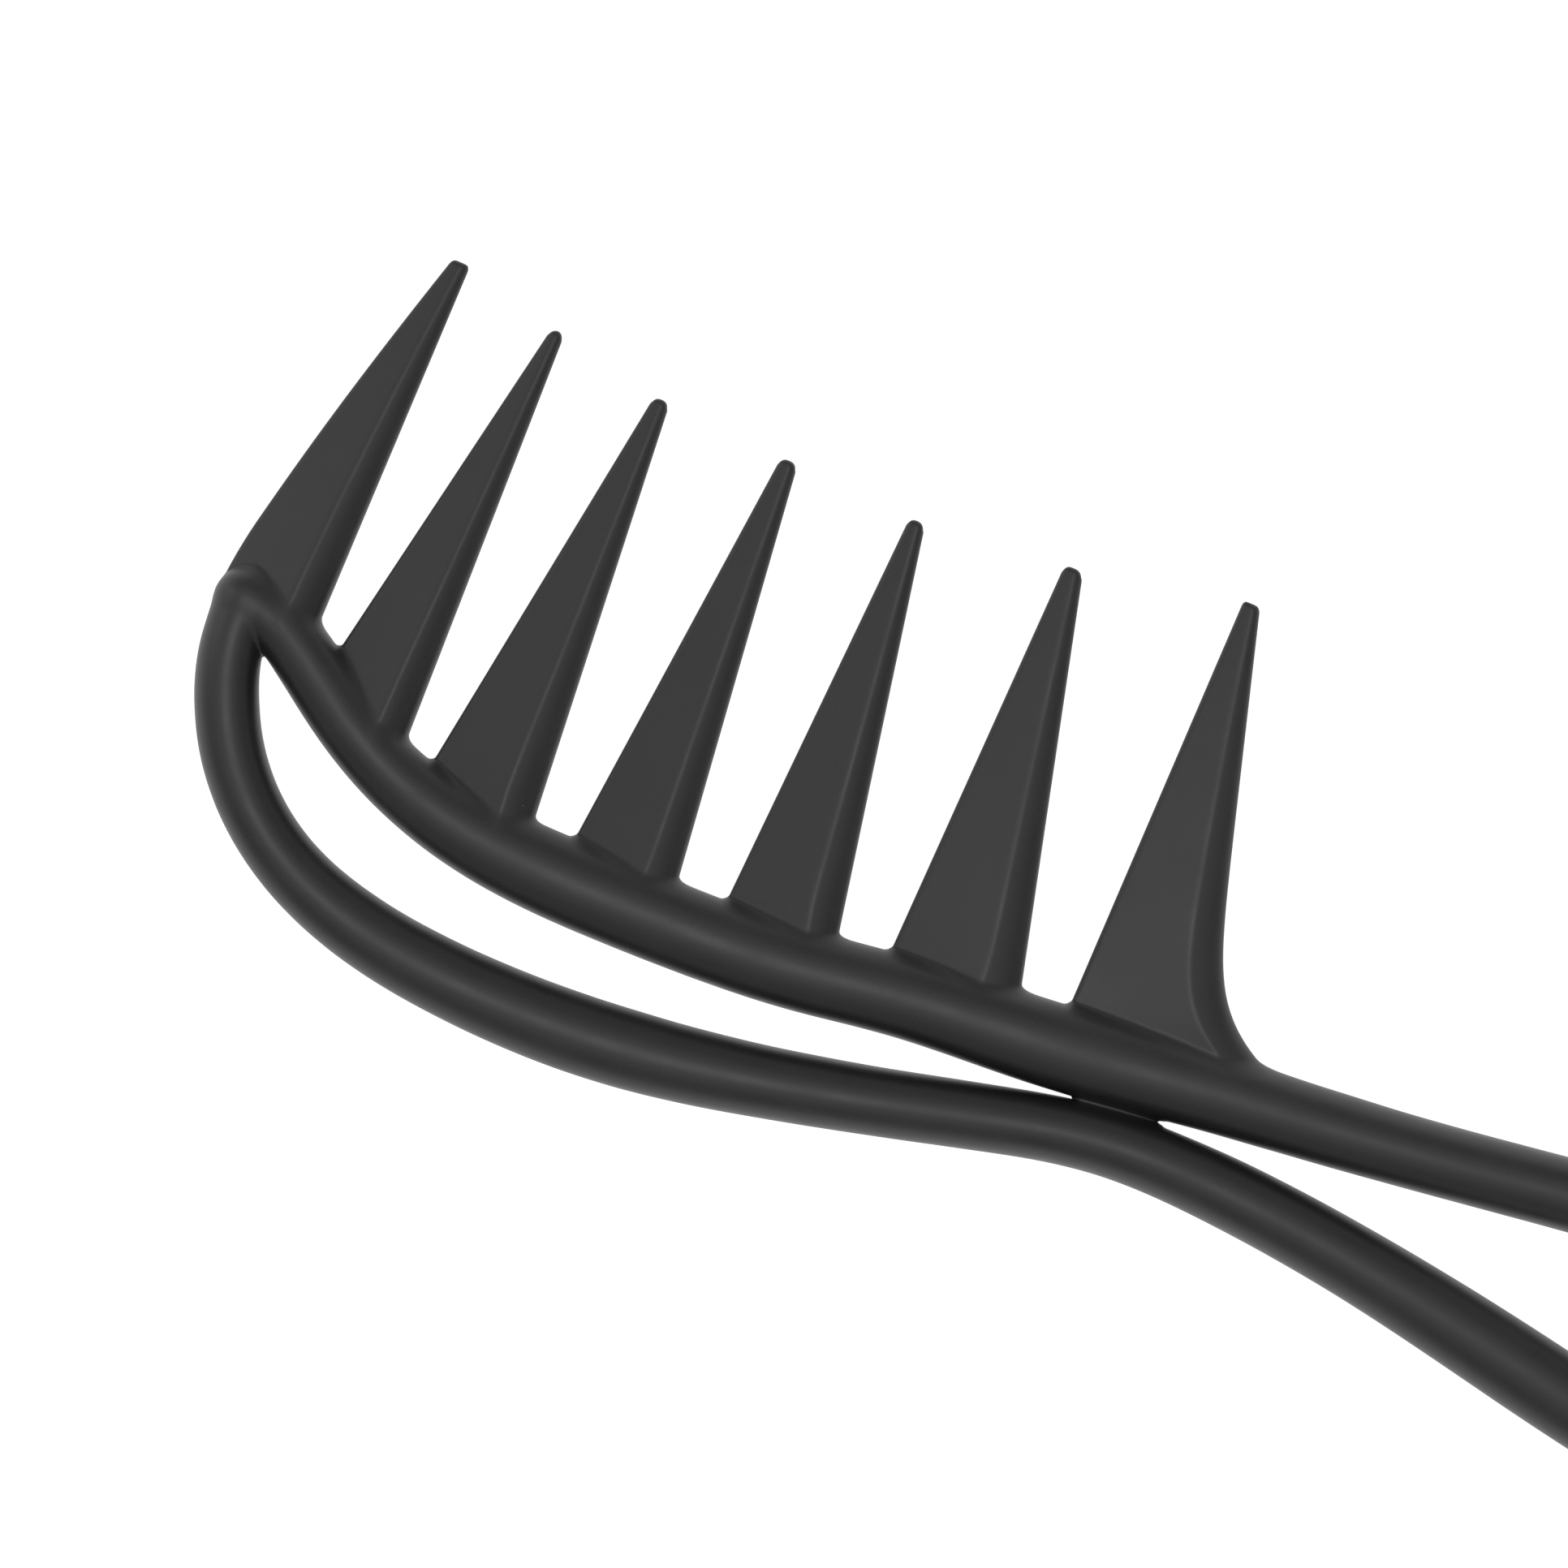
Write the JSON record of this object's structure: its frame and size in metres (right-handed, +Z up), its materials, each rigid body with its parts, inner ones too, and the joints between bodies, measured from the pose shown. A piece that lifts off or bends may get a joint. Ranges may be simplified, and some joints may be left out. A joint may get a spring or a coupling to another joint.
{
  "type": "wide-tooth comb",
  "caption": "Rigid one-piece wide-tooth hair comb: a curved toothed spine, an open bow behind it and an open loop handle.",
  "frame": {"origin": "centre of the comb's length and width, on the surface that it lies on", "axes": "+X along the comb from the nose to the end of the handle, +Y across it towards the tips of the teeth, +Z up from the surface, through the comb's thickness"},
  "size_m": [0.2214, 0.073, 0.008],
  "materials": {
    "moulding": "satin black moulded plastic with a fine even grain"
  },
  "bodies": {
    "root": {"tooth_1": "moulding", "tooth_2": "moulding", "tooth_3": "moulding", "tooth_4": "moulding", "tooth_5": "moulding", "tooth_6": "moulding", "tooth_7": "moulding", "nose": "moulding", "spine": "moulding", "bow": "moulding", "waist": "moulding", "handle_upper_rail": "moulding", "handle_lower_rail": "moulding", "handle_end": "moulding"}
  },
  "joints": []
}
